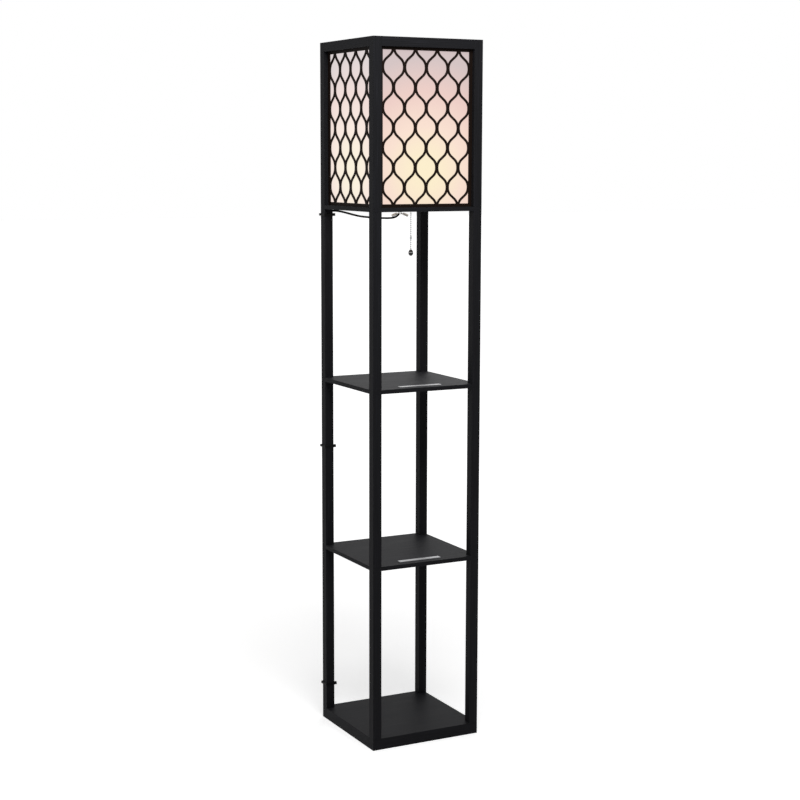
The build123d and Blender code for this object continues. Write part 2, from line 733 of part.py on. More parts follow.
def bulb_contact():
    """Insulating disc and tip under the bulb's screw cap."""
    tip = rod(TIP_RADIUS, (TIP_Z, TIP_Z + TIP_HIGH))
    disc = rod(INSULATOR_RADIUS, (TIP_Z + TIP_HIGH, TIP_Z + TIP_HIGH + INSULATOR_HIGH))
    return (tip + disc).solid()


# ---- tubes along a route ----
def corner_radii(points):
    """For each inner point, the largest tangent arc its two runs allow."""
    vectors = [Vector(*point) for point in points]
    radii = []
    for before, here, after in zip(vectors, vectors[1:], vectors[2:]):
        half_turn = radians((here - before).get_angle(after - here)) / 2
        shorter = min((here - before).length, (after - here).length)
        radii.append(CORD_BEND * shorter / tan(half_turn))
    return radii


def tube(points, diameter, name):
    """A round tube on straight runs and tangent arcs; prints its radii and volume."""
    radii = corner_radii(points)
    path = FilletPolyline(*points, radius=radii)
    start = Plane(origin=points[0], z_dir=Vector(*points[1]) - Vector(*points[0]))
    solid = sweep(start * Circle(diameter / 2), path=path).solid()
    share = solid.volume / (pi * diameter ** 2 / 4 * path.length)
    print(f"{name}: length {path.length:.0f}, least radius {min(radii):.1f}, volume share {share:.4f}")
    print("  radii", " ".join(f"{radius:.0f}" for radius in radii))
    return solid


# ---- crimp caps and short wires ----
def crimp_place(side, out, drop, beside=0.0):
    """A point by its distance out along the crimp caps, its drop and its place beside them."""
    x = out * cos(CRIMP_TURN) - beside * sin(CRIMP_TURN)
    y = out * sin(CRIMP_TURN) + beside * cos(CRIMP_TURN)
    return side * x, side * y, SHADE_Z - drop


def crimp_line(side, share, beside=0.0):
    """A point in a crimp cap: share 0 is its open end and 1 its closed end."""
    out = CRIMP_NEAR + (CRIMP_FAR - CRIMP_NEAR) * share
    drop = CRIMP_NEAR_DROP + (CRIMP_FAR_DROP - CRIMP_NEAR_DROP) * share
    return crimp_place(side, out, drop, beside)


def crimp_caps():
    """Two closed-end caps over the joined wires."""
    caps = []
    for side in (-1, 1):
        mouth, end = Vector(*crimp_line(side, 0.0)), Vector(*crimp_line(side, 1.0))
        plane = Plane(origin=mouth, z_dir=end - mouth)
        length = (end - mouth).length
        cap = rod(CRIMP / 2, (0.0, length))
        cap = fillet(cap.edges().sort_by(Axis.Z)[-1], CRIMP_ROUND)
        cap -= rod(CRIMP / 2 - CRIMP_WALL, (0.0, CRIMP_DEEP))
        caps.append((plane * cap).solid())
    return Compound(caps)


def socket_leads():
    """Two wires down through the nipple and two from the mains lead, in pairs."""
    wires = []
    start = Vector(*CORD_ROUTE[0])
    inward = (Vector(*CORD_ROUTE[1]) - start).normalized()
    across = inward.cross(Vector(0, 0, 1)).normalized()
    for side in (-1, 1):
        down = [
            crimp_place(side, WIRE_SPREAD, SHADE_Z - nipple_top(), WIRE_PAIR),
            crimp_place(side, WIRE_SPREAD, WIRE_BEND_DROP, WIRE_PAIR),
            crimp_line(side, WIRE_IN_CRIMP, WIRE_PAIR),
        ]
        wires.append(tube(down, WIRE, "socket lead"))
        root = start + inward * WIRE_IN_CORD + across * (side * WIRE / 2)
        back = [
            tuple(root),
            tuple(root - inward * WIRE_IN_CORD * 2),
            crimp_place(side, 0.0, WIRE_BEND_DROP + WIRE / 2, -WIRE_PAIR),
            crimp_line(side, WIRE_IN_CRIMP, -WIRE_PAIR),
        ]
        wires.append(tube(back, WIRE, "cord wire"))
    return Compound(wires)


# ---- hank ----
def hank_stations():
    """Places and directions along the hank: ends of runs, waists and tips of turns.

    The strands spiral in on the lower layer, climb along one run and spiral out above.
    """
    half_run = HANK_RUN / 2
    middle_y = CORD_ROUTE[-1][1] + HANK_OUTER
    low = CORD_ROUTE[-1][2]
    high = low + HANK_LAYER
    lift = HANK_TIE_THICK + HANK_TIE_PLAY
    runs = 4 * HANK_LOOPS - 1
    climbing = 2 * HANK_LOOPS - 1
    offsets, levels = [], []
    for run in range(runs):
        step = min(run, runs - 1 - run)
        side = 1 if run % 2 else -1
        offsets.append(side * (HANK_OUTER - step * HANK_STEP / 2))
        levels.append((low if run <= climbing else high, low if run < climbing else high))
    stations = []
    for run in range(runs):
        heading = -1 if run % 2 else 1
        side = 1 if offsets[run] > 0 else -1
        y = middle_y + offsets[run]
        along = Vector(heading, 0, 0)
        begin, finish = levels[run]
        stations.append((Vector(HANK_X - heading * half_run, y, begin), along))
        waist = Vector(HANK_X, y - side * WAIST_IN, (begin + finish) / 2 + lift)
        climb = Vector(heading, 0, (finish - begin) / half_run).normalized()
        stations.append((waist, climb))
        stations.append((Vector(HANK_X + heading * half_run, y, finish), along))
        if run + 1 < runs:
            radius = abs(offsets[run + 1] - offsets[run]) / 2
            tip_y = middle_y + (offsets[run] + offsets[run + 1]) / 2
            tip = Vector(HANK_X + heading * (half_run + radius), tip_y, finish)
            stations.append((tip, Vector(0, -side, 0)))
    return stations


def biarc(start, start_dir, end, end_dir):
    """Two arcs that meet tangentially between two places with given directions."""
    chord = end - start
    both = start_dir + end_dir
    spread = 2 * (1 - start_dir.dot(end_dir))
    if spread < SAME_WAY:
        reach = chord.dot(chord) / (4 * chord.dot(end_dir))
    else:
        along = chord.dot(both)
        reach = (sqrt(along ** 2 + spread * chord.dot(chord)) - along) / spread
    joint = (start + start_dir * reach + end - end_dir * reach) / 2
    middle_dir = (end - end_dir * reach - start - start_dir * reach).normalized()
    return [arc_or_line(start, start_dir, joint), arc_or_line(joint, middle_dir, end)]


def arc_or_line(start, direction, end):
    """A tangent arc, or a line where the end lies straight ahead."""
    if (end - start).normalized().cross(direction).length < SAME_WAY:
        return Line(start, end)
    return TangentArc(start, end, tangent=direction)


def plug_place():
    """Where the lead enters the plug's strain relief, and its height."""
    last, _ = hank_stations()[-1]
    return Vector(last.X + TAIL, last.Y + TAIL_OUT, last.Z)


def cord_hank():
    """The put-away length: one unbroken tube from the lead's end to the plug."""
    ahead = Vector(1, 0, 0)
    stations = hank_stations()
    lead_in = Vector(*CORD_ROUTE[-1])
    edges = [Line(lead_in, stations[0][0])]
    tail_end = plug_place() - ahead * CORD
    for (start, start_dir), (end, end_dir) in zip(stations, stations[1:] + [(tail_end, ahead)]):
        edges += biarc(start, start_dir, end, end_dir)
    edges.append(Line(tail_end, plug_place()))
    path = Wire(edges)
    solid = sweep(Plane(origin=lead_in, z_dir=ahead) * Circle(CORD_RADIUS), path=path).solid()
    share = solid.volume / (pi * CORD_RADIUS ** 2 * path.length)
    radii = [edge.radius for edge in path.edges() if edge.geom_type == GeomType.CIRCLE]
    print(f"hank: length {path.length:.0f}, least radius {min(radii):.1f}, volume share {share:.4f}")
    print(f"  least gap to itself {self_gap(edges):.2f}")
    return solid


def self_gap(edges):
    """Least gap of the tube to itself, measured on points along it."""
    spacing = CORD_RADIUS / 2
    points, travelled, run = [], [], 0.0
    for edge in edges:
        count = max(1, round(edge.length / spacing))
        for step in range(count):
            points.append(edge @ (step / count))
            travelled.append(run + edge.length * step / count)
        run += edge.length
    least = WIDTH
    apart = 3 * CORD
    for first, point in enumerate(points):
        for second in range(first + 1, len(points)):
            if travelled[second] - travelled[first] > apart:
                least = min(least, (points[second] - point).length)
    return least - CORD


def hank_tie():
    """A flat band round the hank's waist."""
    waists = [place for place, _ in hank_stations()[1::4]]
    grip = CORD_RADIUS + HANK_TIE_PLAY / 2
    y_low, y_high = min(p.Y for p in waists) - grip, max(p.Y for p in waists) + grip
    z_low, z_high = min(p.Z for p in waists) - grip, max(p.Z for p in waists) + grip
    size = (y_high - y_low, z_high - z_low)
    thick = HANK_TIE_THICK
    hole = RectangleRounded(*size, CORD_RADIUS)
    ring = RectangleRounded(size[0] + 2 * thick, size[1] + 2 * thick, CORD_RADIUS + thick) - hole
    middle = (HANK_X - HANK_TIE_WIDE / 2, (y_low + y_high) / 2, (z_low + z_high) / 2)
    plane = Plane(origin=middle, x_dir=(0, 1, 0), z_dir=(1, 0, 0))
    return extrude(plane * ring, HANK_TIE_WIDE).solid()


# ---- plug ----
def plug_front():
    return plug_place().X + RELIEF_LONG + PLUG_LONG


def plug_body():
    """Flat plug with its tapered strain relief; it lies on its flat side."""
    place = plug_place()
    relief = Pos(place.X, place.Y, place.Z) * Rot(0, 90, 0) * Cone(
        RELIEF_SMALL / 2, RELIEF_LARGE / 2, RELIEF_LONG, align=(Align.CENTER, Align.CENTER, Align.MIN))
    x_range = (place.X + RELIEF_LONG, plug_front())
    y_range = (place.Y - PLUG_WIDE / 2, place.Y + PLUG_WIDE / 2)
    shell = block(x_range, y_range, (0.0, 2 * place.Z))
    shell = fillet(shell.edges(), PLUG_ROUND)
    return (shell + relief - prongs_solid()).solid()


def prongs_solid():
    """Two flat prongs, from inside the plug outwards."""
    place = plug_place()
    x_range = (plug_front() - PRONG_ROOT, plug_front() + PRONG_LONG)
    prongs = []
    for side in (-1, 1):
        middle = place.Y + side * PRONG_SPACING / 2
        y_range = (middle - PRONG_THICK / 2, middle + PRONG_THICK / 2)
        z_range = (place.Z - PRONG_WIDE / 2, place.Z + PRONG_WIDE / 2)
        prong = block(x_range, y_range, z_range)
        tips = prong.edges().filter_by(Axis.Y).group_by(Axis.X)[-1]
        prongs.append(fillet(tips, PRONG_ROUND).solid())
    return prongs


# ---- cable ties ----
def lead_at(height):
    """The lead's place in plan where it passes a height on its way down the post."""
    falling = [(above, below) for above, below in zip(CORD_ROUTE, CORD_ROUTE[1:])
               if above[2] >= height > below[2]]
    above, below = falling[-1]
    share = (above[2] - height) / (above[2] - below[2])
    return Vector(*[start + (end - start) * share for start, end in zip(above[:2], below[:2])])


def tie_outline(centre, grip, offset):
    """A band's outline round the post and the lead, offset outwards: tangents and an arc."""
    low_left, low_right = Vector(-HALF - offset, INNER - offset), Vector(-INNER + offset, INNER - offset)
    high_left = Vector(-HALF - offset - TIE_SLACK, HALF + offset + TIE_SLACK)
    high_right = Vector(-INNER + offset, HALF + offset)
    radius = grip + offset
    touch = []
    for corner, turn in ((high_left, 1), (high_right, -1)):
        away = centre - corner
        angle = atan2(away.Y, away.X) + turn * asin(radius / away.length)
        reach = sqrt(away.length ** 2 - radius ** 2)
        touch.append(corner + Vector(cos(angle), sin(angle)) * reach)
    edges = [
        Line(high_left, touch[0]),
        ThreePointArc(touch[0], centre + Vector(0, radius), touch[1]),
        Line(touch[1], high_right),
        Line(high_right, low_right),
        Line(low_right, low_left),
        Line(low_left, high_left),
    ]
    return Face(Wire(edges))


def cable_tie(height, room):
    """A band round the back-left post and the lead, with its head at the inner front corner."""
    centre = lead_at(height)
    grip = CORD_RADIUS + room
    flat = tie_outline(centre, grip, TIE_THICK) - tie_outline(centre, grip, 0.0)
    band = Pos(0, 0, height - TIE_HIGH / 2) * extrude(flat, TIE_HIGH, dir=(0, 0, 1))
    x_range = (-INNER, -INNER + TIE_HEAD_OUT)
    y_range = (INNER - TIE_THICK, INNER + TIE_HEAD)
    head = block(x_range, y_range, (height - TIE_HEAD_HIGH / 2, height + TIE_HEAD_HIGH / 2))
    return (band + head).solid()


def cable_ties():
    ties = (
        (SHADE_Z - TOP_TIE_DROP, TOP_TIE_ROOM),
        (LOWER_Z + BOARD + MIDDLE_TIE_UP, TIE_ROOM),
        (BASE_HEIGHT + LOW_TIE_UP, TIE_ROOM),
    )
    return Compound([cable_tie(height, room) for height, room in ties])


# ---- all pieces ----
def pieces():
    """Every piece under its name."""
    made = {
        "base_rails": base_rails(),
        "base_panel": base_panel(),
        "base_bolts": base_bolts(),
        "post_studs": post_studs(),
        "frame_dowels": Compound(top_dowels() + base_dowels()),
        "shelf_lower": board(LOWER_Z),
        "shelf_upper": board(UPPER_Z),
        "shelf_strips": shelf_strips(),
        "shade_base_frame": shade_base_frame(),
    }
    levels = {"lower": BASE_HEIGHT, "middle": LOWER_Z + BOARD, "upper": UPPER_Z + BOARD}
    for corner, signs in CORNERS.items():
        for level, low in levels.items():
            made[f"post_{level}_{corner}"] = post(signs, (low, low + POST_LENGTH))
        made[f"shade_post_{corner}"] = shade_post(signs)
    panel = lattice_panel()
    sheet = diffuser()
    for quarter, side in enumerate(SIDES):
        made[f"top_rail_{side}"] = top_rail(quarter)
        made[f"lattice_{side}"] = turned(panel, quarter)
    made["diffuser_panels"] = Compound([turned(sheet, quarter).solid() for quarter in range(4)])
    makers = (
        socket_crossbar, crossbar_screws, threaded_nipple, nipple_nuts, socket_cap, socket_shell,
        socket_body, screw_shell, centre_contact, switch_lever, chain_eyelet, pull_chain,
        chain_connector, chain_knob, bulb_globe, bulb_cap, bulb_contact, crimp_caps,
        socket_leads, cord_hank, hank_tie, plug_body, cable_ties,
    )
    for maker in makers:
        made[maker.__name__] = maker()
    made["plug_prongs"] = Compound(prongs_solid())
    made["power_cord"] = tube(CORD_ROUTE, CORD, "power cord")
    return made


for name, shape in pieces().items():
    export_step(shape, f"parts/{name}.step")
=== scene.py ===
"""Shelf floor lamp: finishes, glowing shade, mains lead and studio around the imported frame.

Everything is in metres, in the frame's own axes: +Z up, the front is -Y and the left -X.
"""
import math

import bpy
import numpy as np
from mathutils import Matrix, Vector


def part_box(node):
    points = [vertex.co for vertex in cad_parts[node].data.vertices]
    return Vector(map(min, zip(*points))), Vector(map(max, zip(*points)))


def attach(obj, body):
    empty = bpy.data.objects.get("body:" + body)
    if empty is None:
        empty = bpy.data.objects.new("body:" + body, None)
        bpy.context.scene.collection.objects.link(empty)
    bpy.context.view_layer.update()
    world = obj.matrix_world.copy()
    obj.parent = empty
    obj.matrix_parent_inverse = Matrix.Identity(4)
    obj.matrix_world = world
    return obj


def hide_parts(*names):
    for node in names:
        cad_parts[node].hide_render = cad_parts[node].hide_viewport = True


bl_info = {
    "name": "Shelf floor lamp",
    "version": (1, 0, 0),
    "blender": (4, 5, 0),
    "location": "View3D > Sidebar > Lamp",
    "description": "Finishes, lead and studio for a square shelf floor lamp with a lattice shade",
    "category": "Object",
}

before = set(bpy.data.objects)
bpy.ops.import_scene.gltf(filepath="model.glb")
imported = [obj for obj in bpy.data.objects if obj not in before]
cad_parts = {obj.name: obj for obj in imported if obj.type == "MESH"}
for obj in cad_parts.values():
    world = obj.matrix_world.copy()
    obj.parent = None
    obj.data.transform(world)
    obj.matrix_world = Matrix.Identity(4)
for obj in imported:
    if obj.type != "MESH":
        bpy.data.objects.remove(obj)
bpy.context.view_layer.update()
MM = 0.001                   # a millimetre in metres
WHITE = (1.0, 1.0, 1.0, 1.0)

# ---- groups of CAD nodes ----
CORNERS = ("front_left", "front_right", "back_left", "back_right")
SIDES = ("front", "right", "back", "left")
LEVELS = ("lower", "middle", "upper")
POSTS = [f"post_{level}_{corner}" for corner in CORNERS for level in LEVELS]
POSTS += [f"shade_post_{corner}" for corner in CORNERS]
LATTICES = [f"lattice_{side}" for side in SIDES]

# ---- camera, solved from the lamp's own straight edges ----
CAMERA_PLACE = (-1.7037, -3.286, 1.2784)
CAMERA_YAW = math.radians(27.4209)
CAMERA_PITCH = math.radians(-8.1798)
CAMERA_ROLL = math.radians(0.1232)
CAMERA_LENS = 75.98          # mm, on a sensor this wide
SENSOR_WIDTH = 36.0
VIEW_END = 100.0             # nothing further from the camera is drawn

# ---- floor and lights, in metres ----
FLOOR_HALF = 30.0
FLOOR_FADE = (0.6, 3.0)      # distances from the lamp between which the floor turns white
KEY_PLACE = (-0.4, -1.2, 2.2)
KEY_AIM = (0.0, 0.0, 1.3)
KEY_SIZE = 0.9
BACK_PLACE = (1.4, 1.7, 2.2)
BACK_AIM = (0.0, 0.0, 1.0)
BACK_SIZE = 1.2

# ---- glow of the diffuser and the bulb, in metres ----
GLOW_REACH = (0.118, 0.150, 0.203, 0.264)   # where the diffuser has its four colours
GLOW_DROP = 28.0 * MM        # the glow's centre lies this far below the middle of the glass
SIDE_SHEET = 2.0 * MM        # what is nearer than this to the box's side is a side sheet
BULB_REACH = (0.030, 0.058)  # where the glass is pale and where it is amber

# ---- mains lead: control points listed one by one, in millimetres ----
LEAD_POINTS = [
    (-1.0, 1.3, 1157.2),
    (-3.4, 3.6, 1152.6),
    (-7.6, 7.8, 1149.0),
    (-13.6, 14.0, 1147.1),
    (-24.0, 24.6, 1146.4),
    (-61.0, 62.5, 1148.6),
    (-76.0, 82.0, 1153.6),
    (-87.0, 101.0, 1158.2),
    (-94.5, 117.0, 1160.6),
    (-101.0, 130.0, 1160.8),
    (-107.0, 137.4, 1158.2),
    (-113.8, 140.0, 1151.2),
    (-118.8, 138.4, 1139.8),
    (-120.8, 135.6, 1124.4),
    (-120.9, 134.0, 1100.0),
    (-120.2, 133.7, 1030.0),
    (-119.0, 134.6, 960.0),
    (-118.2, 135.9, 890.0),
    (-118.0, 136.4, 820.0),
    (-118.6, 135.8, 750.0),
    (-119.6, 133.2, 680.0),
    (-120.1, 132.6, 610.0),
    (-120.8, 133.4, 540.0),
    (-121.7, 135.0, 470.0),
    (-122.0, 136.2, 400.0),
    (-121.4, 136.0, 330.0),
    (-120.4, 134.9, 260.0),
    (-119.7, 133.4, 190.0),
    (-119.5, 132.7, 120.0),
    (-120.0, 133.3, 50.0),
    (-117.2, 133.9, 27.0),
    (-109.4, 133.9, 10.6),
    (-99.0, 133.6, 3.4),
    (-90.0, 133.4, 2.4),
    (-82.0, 133.4, 2.4),
]
LEAD_DIAMETER = 4.4
LEAD_STEPS = 6               # steps of the line for each control point
LEAD_ROUNDING = 5            # steps of the bevel's quarter circle

# ---- put-away hank behind the base, in millimetres ----
HANK_X = -38.0               # its middle, left of the lamp's
HANK_RUN = 80.0
HANK_RUNS = 7                # runs along X, from the lead's end to the plug's
HANK_STEP = 5.2              # between neighbouring runs
HANK_LAYER = 4.9             # height of the upper layer over the lower one
HANK_OUTER = 20.4            # from the middle to the outermost run
HANK_WAIST = 4.0             # how far the tie draws the runs in
HANK_LIFT = 0.8              # how far the tie lifts them
HANK_END = 0.78              # shares of half a run at which its control points lie
HANK_TIED = 0.28
HANK_CORNERS = 6             # control points of a half turn
TAIL = 36.0                  # from the hank's end to the plug
TAIL_OUT = 9.0               # sideways bend of the tail
TAIL_SHARES = (0.72, 0.32)   # shares of the tail still to go where the bend starts and ends

# ---- surface patterns ----
NOISE_SPAN = (0.3, 0.7)      # nearly all values of a noise lie in here
FOIL_PORE_LONG = 60.0        # a pore or streak of the foil is this many times as long as wide
FOIL_PATCH = 9.0             # a patch of streaks is this many times as large as a streak
FOIL_STREAKS = (0.46, 0.68)  # noise that is no streak yet, and that is a full one
FOIL_PATCHES = (0.35, 1.0)   # strength of the streaks in weak and in strong patches
FOIL_ROUGHNESS = (0.48, 0.62)
LATTICE_GRAIN = 2.0 * MM     # veneer grain, drawn wider than it is so that it shows
LATTICE_GRAIN_LONG = 40.0    # its length over its width
LATTICE_TONES = (0.6, 1.5)   # darkest and lightest grain over the stain's own colour
SHEET_FIBRE = 3.8 * MM       # cloudiness of the diffuser sheet
SHEET_CLOUD = (0.98, 1.0)
NYLON_SKIN = 1.1 * MM        # unevenness of a crimp cap
FROST = 0.7 * MM             # acid frost, drawn coarser than it is so that it shows
TOOL_LINE = 0.4 * MM         # lines of turning and drawing, drawn coarser so that they show
TOOL_LINE_LONG = 20.0        # their length over their width
METAL_VARIES = 0.15          # share by which a metal's roughness changes
MOULD_GRIT = 0.8 * MM        # spark texture of a mould, drawn coarser so that it shows
MOULD_VARIES = 0.07          # how far a moulding's roughness changes
PORE_DEPTH = 0.2 * MM
SKIN_DEPTH = 0.1 * MM
TOOL_LINE_DEPTH = 0.05 * MM

# ---- bright band of the end knob, in metres ----
BAND_DOWN = 5.4 * MM         # from the knob's top to the band
BAND_WIDTH = 0.9 * MM

# ---- rolled thread of the bulb's screw cap, in metres ----
THREAD_PITCH = 3.63 * MM
THREAD_DEEP = 0.85 * MM
THREAD_FADE = 1.5 * MM       # height over which the thread starts and ends
CAP_FOOT = 3.3 * MM          # rounding of the cap's foot
CAP_SKIRT = 4.5 * MM         # plain part next to the glass
CAP_RINGS = 86
CAP_SIDES = 64


# ---- small helpers ----
def linear(code):
    """A hex sRGB colour as linear red, green and blue."""
    parts = [int(code[place:place + 2], 16) / 255 for place in (1, 3, 5)]
    return [part / 12.92 if part <= 0.04045 else ((part + 0.055) / 1.055) ** 2.4 for part in parts]


def rgba(colour):
    """A linear colour, or a hex sRGB code, with full opacity."""
    return (*(linear(colour) if isinstance(colour, str) else colour[:3]), 1.0)


def add_node(tree, kind, inputs=None, **settings):
    """Adds a node: settings are its properties, inputs are sockets to link or plain values."""
    made = tree.nodes.new(kind)
    for name, value in settings.items():
        setattr(made, name, value)
    for name, value in (inputs or {}).items():
        if isinstance(value, bpy.types.NodeSocket):
            tree.links.new(value, made.inputs[name])
        else:
            made.inputs[name].default_value = value
    return made


def noise(tree, place, detail, scale=1.0, **inputs):
    """Cloudy noise: its scale is one over the size of a cloud."""
    made = add_node(tree, "ShaderNodeTexNoise",
                    {"Vector": place, "Scale": scale, "Detail": detail, **inputs})
    return made.outputs["Fac"]


def stretched(tree, place, scale):
    """A place with a scale of its own for each axis."""
    return add_node(tree, "ShaderNodeMapping", {"Vector": place, "Scale": scale}).outputs[0]


def distance(tree, place, centre):
    """Distance between a place and a centre."""
    made = add_node(tree, "ShaderNodeVectorMath", {0: place, 1: centre}, operation="DISTANCE")
    return made.outputs["Value"]


def spread(tree, value, to=(0.0, 1.0), span=NOISE_SPAN):
    """A value that crosses a span as one that goes from the first to the second of to."""
    made = add_node(tree, "ShaderNodeMapRange", {
        "Value": value, "From Min": span[0], "From Max": span[1],
        "To Min": to[0], "To Max": to[1]})
    return made.outputs[0]


def combine(tree, operation, first, second):
    """Two values put through one arithmetic step."""
    return add_node(tree, "ShaderNodeMath", {0: first, 1: second}, operation=operation).outputs[0]


def blend(tree, share, first, second, **settings):
    """The first colour where the share is nought, the second where it is one."""
    made = add_node(tree, "ShaderNodeMix", {"Factor": share, "A": first, "B": second},
                    data_type="RGBA", **settings)
    return made.outputs["Result"]


def emboss(tree, height, strength, depth):
    """Shading of a fine relief."""
    made = add_node(tree, "ShaderNodeBump",
                    {"Height": height, "Strength": strength, "Distance": depth})
    return made.outputs[0]


def drive(tree, surface, **sockets):
    """Links outputs to a shader's sockets; an underscore stands for a space in a name."""
    for name, output in sockets.items():
        tree.links.new(output, surface.inputs[name.replace("_", " ")])


def start_material(name, shader):
    """A material with a Principled shader, its tree, the shader and its object coordinates."""
    material = bpy.data.materials.new(name)
    material.use_nodes = True
    tree = material.node_tree
    tree.nodes.clear()
    coordinates = add_node(tree, "ShaderNodeTexCoord")
    surface = add_node(tree, "ShaderNodeBsdfPrincipled", shader)
    add_node(tree, "ShaderNodeOutputMaterial", {"Surface": surface.outputs["BSDF"]})
    return material, tree, surface, coordinates.outputs["Object"]


def dress(names, material):
    """Gives CAD nodes a material."""
    for name in names:
        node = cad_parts[name]
        node.data.materials.clear()
        node.data.materials.append(material)


def new_mesh(name, points, faces, material, smooth=True):
    """A mesh object at the origin from arrays of points and faces."""
    mesh = bpy.data.meshes.new(name)
    mesh.from_pydata(np.asarray(points).tolist(), [], faces)
    mesh.polygons.foreach_set("use_smooth", [smooth] * len(mesh.polygons))
    mesh.materials.append(material)
    mesh.update()
    piece = bpy.data.objects.new(name, mesh)
    bpy.context.collection.objects.link(piece)
    return piece


# ---- sizes and colours a user would change ----
def colour_setting(name, code, description):
    """A colour in the panel."""
    return bpy.props.FloatVectorProperty(
        name=name, description=description, subtype="COLOR", size=3, default=linear(code))


def number_setting(name, default, high, description, **more):
    """A number from nought up in the panel."""
    return bpy.props.FloatProperty(
        name=name, description=description, default=default, min=0.0, max=high, **more)


class LampFinish(bpy.types.PropertyGroup):
    """Colours and textures of the wood, shade and metal."""
    foil: colour_setting("Foil", "#1c1c1e", "Black of the wood-grain foil")
    foil_streak: colour_setting(
        "Foil streaks", "#26262a", "Paler streaks of the foil's printed grain")
    lattice: colour_setting("Lattice", "#18100c", "Stained lattice panels")
    glow_near: colour_setting("Glow near the bulb", "#fceeca", "Diffuser next to the bulb")
    glow_around: colour_setting(
        "Glow around", "#f9dfce", "Diffuser a little further from the bulb")
    glow_above: colour_setting("Glow above", "#ebcac2", "Diffuser above the bulb")
    glow_far: colour_setting("Glow at the top", "#cfbebe", "Diffuser at the shade's top edge")
    glow_strength: number_setting("Glow strength", 0.93, 5.0, "Brightness of the lit diffuser")
    # painted room light: share by which the glow of the left and right sheets is blended towards
    # white
    side_painted_light: number_setting(
        "Side painted light", 0.32, 1.0, "White over the left and right diffuser sheets")
    grain_width: bpy.props.FloatProperty(
        name="Grain width", description="Width of a streak of the foil's grain",
        subtype="DISTANCE", default=0.0016, min=0.0002, max=0.02)


class LampStudio(bpy.types.PropertyGroup):
    """Floor and soft lights."""
    floor: colour_setting("Floor", "#f4f4f4", "Pale studio floor")
    room: number_setting("Room light", 0.13, 3.0, "Even light from all sides")
    key: number_setting(
        "Key light", 26.0, 1000.0, "Large soft light above the front", subtype="POWER")
    back: number_setting(
        "Back light", 12.0, 1000.0, "Weaker soft light above the back", subtype="POWER")
    floor_glow: number_setting(
        "Floor glow", 0.6, 1.0, "Share of the floor's white that is its own, as the camera sees it")


# ---- materials ----
def foil_on_board(name, along):
    """Printed PVC foil on particle board: near black, satin, with pressed wood pores.

    The eye gets fine streaks along the piece and a broken, soft reflection.
    """
    finish = bpy.context.scene.lamp_finish
    material, tree, surface, place = start_material(name, {"Specular IOR Level": 0.035})
    across = 1.0 / finish.grain_width
    stretch = [across, across, across]
    stretch["XYZ".index(along)] = across / FOIL_PORE_LONG
    grain = noise(tree, stretched(tree, place, stretch), 4.0, Roughness=0.6, Distortion=0.4)
    broad = noise(tree, stretched(tree, place, [part / FOIL_PATCH for part in stretch]), 2.0)
    share = combine(tree, "MULTIPLY", spread(tree, grain, span=FOIL_STREAKS),
                    spread(tree, broad, FOIL_PATCHES))
    drive(tree, surface,
          Base_Color=blend(tree, share, rgba(finish.foil), rgba(finish.foil_streak)),
          Roughness=spread(tree, grain, FOIL_ROUGHNESS),
          Normal=emboss(tree, grain, 0.25, PORE_DEPTH))
    return material


def stained_lattice():
    """Black-brown stained plywood, laser cut: darker and duller than the foil, softly streaked."""
    finish = bpy.context.scene.lamp_finish
    material, tree, surface, place = start_material(
        "stained plywood", {"Roughness": 0.6, "Specular IOR Level": 0.05})
    across = 1.0 / LATTICE_GRAIN
    grain = noise(tree, stretched(tree, place, (across, across, across / LATTICE_GRAIN_LONG)), 3.0)
    dark, light = [rgba([part * tone for part in finish.lattice]) for tone in LATTICE_TONES]
    drive(tree, surface,
          Base_Color=blend(tree, grain, dark, light),
          Normal=emboss(tree, grain, 0.2, PORE_DEPTH))
    return material


def lit_diffuser():
    """White translucent sheet lit from inside: cream near the bulb, peach around, mauve at the top.

    The colour follows the distance from a point low in the bulb. Over the left and right sheets the
    glow is blended towards white: painted room light that makes those sheets paler.
    """
    finish = bpy.context.scene.lamp_finish
    material, tree, surface, place = start_material(
        "translucent PVC sheet",
        {"Roughness": 0.7, "Base Color": rgba("#3a3634"),
         "Emission Strength": finish.glow_strength})
    reach = distance(tree, place, (0.0, 0.0, bulb_middle() - GLOW_DROP))
    near, far = GLOW_REACH[0], GLOW_REACH[-1]
    glow = add_node(tree, "ShaderNodeValToRGB", {"Fac": spread(tree, reach, span=(near, far))})
    stops = glow.color_ramp.elements
    colours = (finish.glow_near, finish.glow_around, finish.glow_above, finish.glow_far)
    while len(stops) < len(colours):
        stops.new(1.0)
    for stop, away, colour in zip(stops, GLOW_REACH, colours):
        stop.position = (away - near) / (far - near)
        stop.color = rgba(colour)
    fibres = noise(tree, place, 3.0, 1.0 / SHEET_FIBRE, Roughness=0.6)
    sheet = blend(tree, 1.0, glow.outputs["Color"], spread(tree, fibres, SHEET_CLOUD),
                  blend_type="MULTIPLY")
    reach_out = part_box("diffuser_panels")[1][0]
    axes = add_node(tree, "ShaderNodeSeparateXYZ", {0: place})
    out = add_node(tree, "ShaderNodeMath", {0: axes.outputs["X"]}, operation="ABSOLUTE")
    # painted room light: the glow of the left and right sheets is blended towards white so that
    # they look paler
    side = combine(tree, "GREATER_THAN", out.outputs[0], reach_out - SIDE_SHEET)
    painted_side_light = combine(tree, "MULTIPLY", side, finish.side_painted_light)
    drive(tree, surface, Emission_Color=blend(tree, painted_side_light, sheet, WHITE))
    return material


